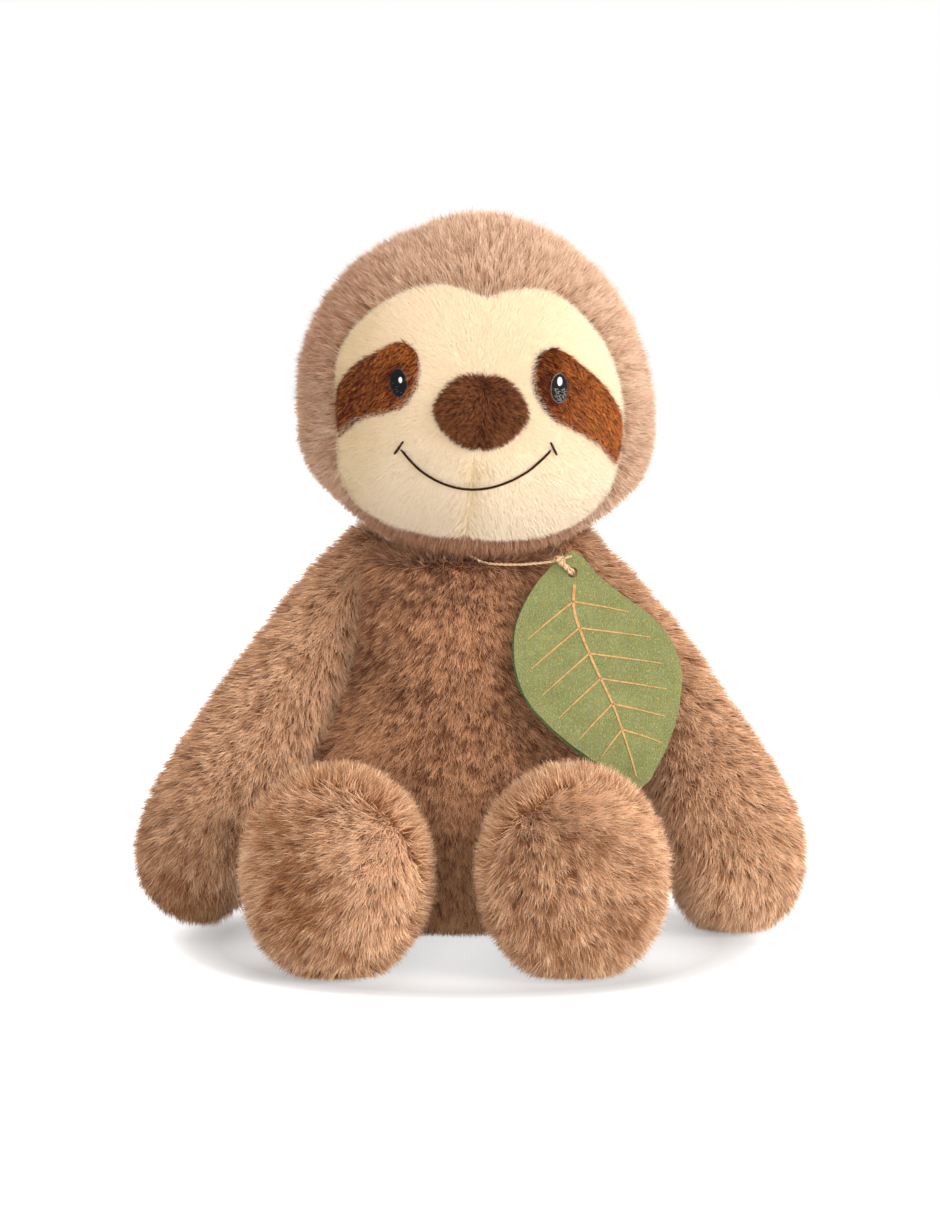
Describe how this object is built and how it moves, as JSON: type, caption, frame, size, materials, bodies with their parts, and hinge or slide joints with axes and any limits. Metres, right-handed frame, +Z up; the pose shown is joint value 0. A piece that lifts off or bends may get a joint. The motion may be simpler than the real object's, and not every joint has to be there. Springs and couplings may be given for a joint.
{
  "type": "plush sloth",
  "caption": "Seated plush sloth with a cream face, long arms, round feet and a leaf-shaped hang tag; head, arms, legs and tag move.",
  "frame": {"origin": "on the surface the toy sits on, under the middle of the whole toy's outline", "axes": "+Z up, the face and feet look along -Y, the toy's own right arm is on the -X side"},
  "size_m": [0.2748, 0.1894, 0.2923],
  "materials": {
    "taupe_plush": "long pile",
    "brown_plush": "long pile",
    "tan_plush": "long pile",
    "cream_plush": "short pile",
    "rust_velvet": "velvet",
    "dark_plush": "short pile",
    "embroidery_thread": "satin stitch",
    "white_thread": "satin stitch",
    "polyester_fibre": "loose fibre",
    "seam_cloth": "woven",
    "green_card": "matte card",
    "dark_card": "matte card",
    "kraft_twine": "twisted fibre"
  },
  "bodies": {
    "torso": {"torso_skin": "brown_plush", "torso_stuffing": "polyester_fibre", "tag_string": "kraft_twine"},
    "neck": {"neck_seam": "seam_cloth"},
    "head": {"head_skin": "taupe_plush", "head_stuffing": "polyester_fibre", "face_panel": "cream_plush", "eye_patch_left": "rust_velvet", "eye_patch_right": "rust_velvet", "eye_left": "embroidery_thread", "eye_right": "embroidery_thread", "eye_highlight_left": "white_thread", "eye_highlight_right": "white_thread", "nose": "dark_plush", "mouth": "embroidery_thread", "mouth_corner_left": "embroidery_thread", "mouth_corner_right": "embroidery_thread"},
    "shoulder_left": {"shoulder_seam_left": "seam_cloth"},
    "arm_left": {"arm_left_skin": "tan_plush", "arm_left_stuffing": "polyester_fibre"},
    "shoulder_right": {"shoulder_seam_right": "seam_cloth"},
    "arm_right": {"arm_right_skin": "tan_plush", "arm_right_stuffing": "polyester_fibre"},
    "hip_left": {"hip_seam_left": "seam_cloth"},
    "leg_left": {"leg_left_skin": "tan_plush", "leg_left_stuffing": "polyester_fibre", "sole_left": "tan_plush"},
    "hip_right": {"hip_seam_right": "seam_cloth"},
    "leg_right": {"leg_right_skin": "tan_plush", "leg_right_stuffing": "polyester_fibre", "sole_right": "tan_plush"},
    "tag": {"tag_front": "green_card", "tag_back": "dark_card", "tag_link": "kraft_twine", "string_knot": "kraft_twine"}
  },
  "joints": [
    {"name": "head_turn", "type": "hinge", "parent": "torso", "child": "neck", "pos_m": [-0.00289, 0.03072, 0.116], "axis": [0, 0, 1], "range_deg": [-30, 30]},
    {"name": "head_nod", "type": "hinge", "parent": "neck", "child": "head", "pos_m": [-0.00289, 0.03072, 0.116], "axis": [1, 0, 0], "range_deg": [-10, 6]},
    {"name": "arm_left_swing", "type": "hinge", "parent": "torso", "child": "shoulder_left", "pos_m": [-0.04889, 0.04072, 0.138], "axis": [-0.8829, 0.4695, 0], "range_deg": [0, 90]},
    {"name": "arm_left_lift", "type": "hinge", "parent": "shoulder_left", "child": "arm_left", "pos_m": [-0.04889, 0.04072, 0.138], "axis": [0, 1, 0], "range_deg": [0, 45]},
    {"name": "arm_right_swing", "type": "hinge", "parent": "torso", "child": "shoulder_right", "pos_m": [0.04311, 0.04072, 0.138], "axis": [-0.6428, -0.766, 0], "range_deg": [0, 24]},
    {"name": "arm_right_lift", "type": "hinge", "parent": "shoulder_right", "child": "arm_right", "pos_m": [0.04311, 0.04072, 0.138], "axis": [0, -1, 0], "range_deg": [0, 30]},
    {"name": "leg_left_spread", "type": "hinge", "parent": "torso", "child": "hip_left", "pos_m": [-0.03589, 0.01872, 0.031], "axis": [0, 0, -1], "range_deg": [0, 12]},
    {"name": "leg_left_lift", "type": "hinge", "parent": "hip_left", "child": "leg_left", "pos_m": [-0.03589, 0.01872, 0.031], "axis": [-1, 0, 0], "range_deg": [0, 24]},
    {"name": "leg_right_spread", "type": "hinge", "parent": "torso", "child": "hip_right", "pos_m": [0.03011, 0.01872, 0.031], "axis": [0, 0, 1], "range_deg": [0, 8]},
    {"name": "leg_right_lift", "type": "hinge", "parent": "hip_right", "child": "leg_right", "pos_m": [0.03011, 0.01872, 0.031], "axis": [-1, 0, 0], "range_deg": [0, 4]},
    {"name": "tag_lift", "type": "hinge", "parent": "torso", "child": "tag", "pos_m": [0.03754, -0.00208, 0.15496], "axis": [-1, 0, 0], "range_deg": [0, 70]}
  ]
}
